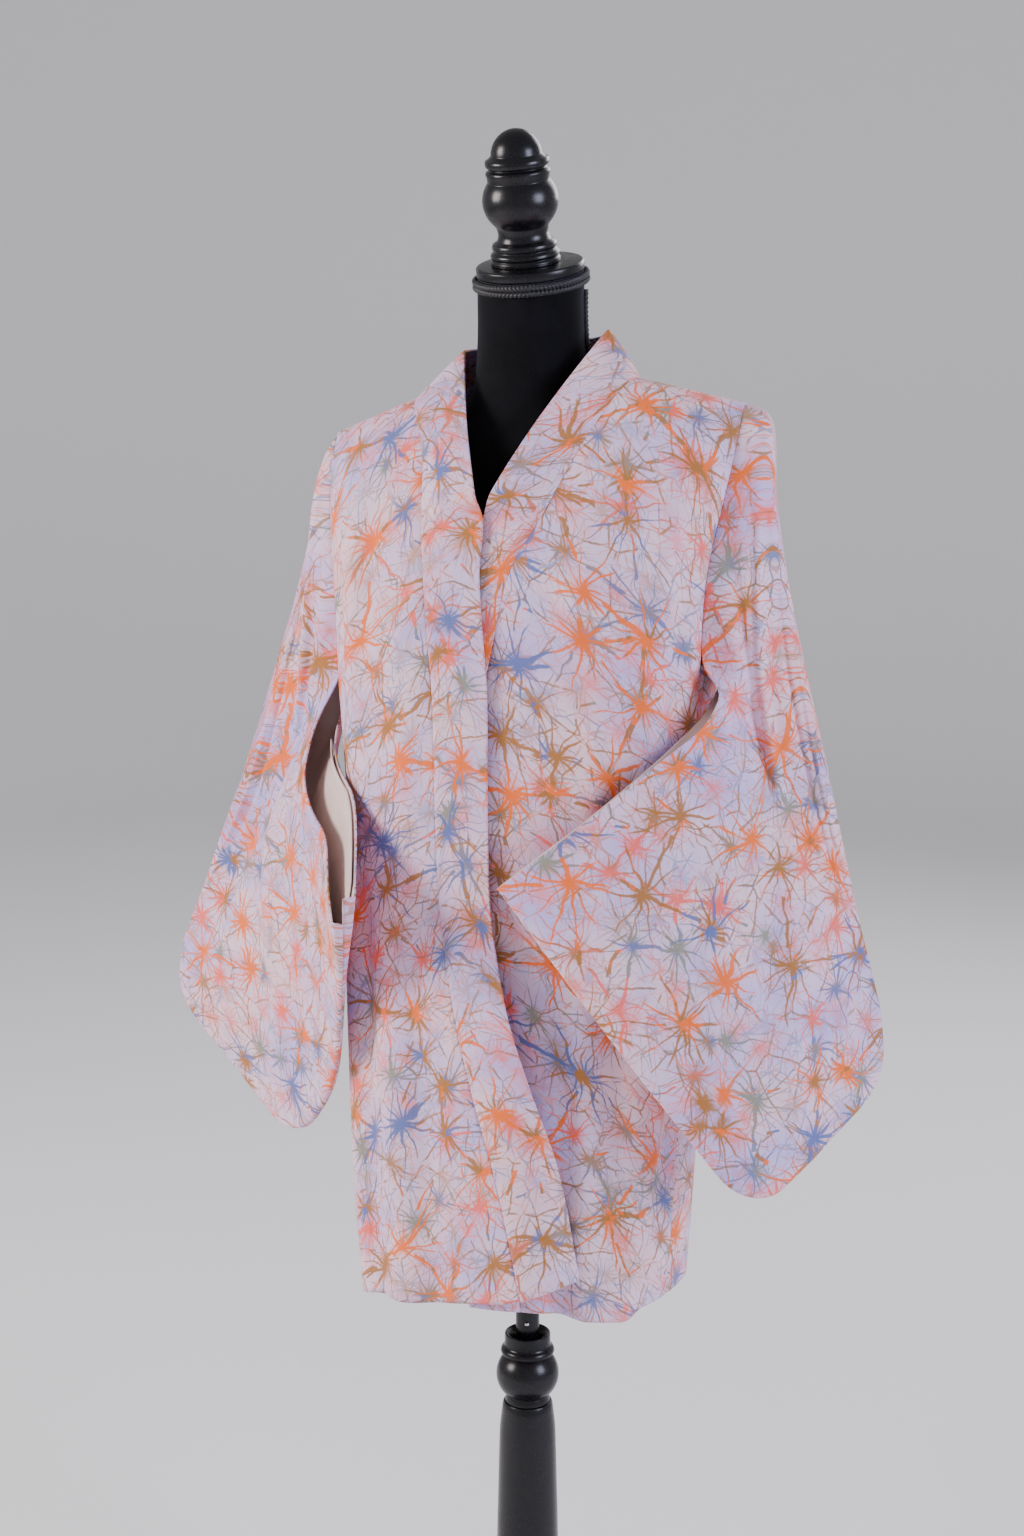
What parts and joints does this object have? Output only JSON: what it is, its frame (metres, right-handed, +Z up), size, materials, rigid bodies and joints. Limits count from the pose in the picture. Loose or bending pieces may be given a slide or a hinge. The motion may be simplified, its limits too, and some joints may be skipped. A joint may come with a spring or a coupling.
{
  "type": "haori jacket on dress form",
  "caption": "Hip-length kimono jacket with long square sleeves and a folded collar band, draped on a limbless dress form on a turned stand.",
  "frame": {"origin": "centre of the base's underside, on the floor under the pole", "axes": "+Z up; -Y is the jacket's front; +X is the wearer's left"},
  "size_m": [0.7626, 0.3977, 1.6099],
  "materials": {
    "silk": "matt figured silk, pale lilac pink with orange, ochre and slate blue starbursts",
    "lining": "plain pale pink lining silk",
    "velvet": "black velvet over a padded form",
    "lacquer": "turned wood in satin black lacquer",
    "braid": "twisted black braid",
    "steel": "bright steel stud"
  },
  "bodies": {
    "root": {"body_left": "silk", "body_right": "silk", "gusset_left": "silk", "gusset_right": "silk", "sleeve_left": "silk", "sleeve_right": "silk", "sleeve_lining_right": "lining", "collar": "silk", "torso": "velvet", "neck_disc": "lacquer", "finial": "lacquer", "neck_braid": "braid", "neck_cord": "braid", "pole": "lacquer", "pole_pin": "steel", "stand_cup": "lacquer", "column": "lacquer", "base": "lacquer"}
  },
  "joints": []
}
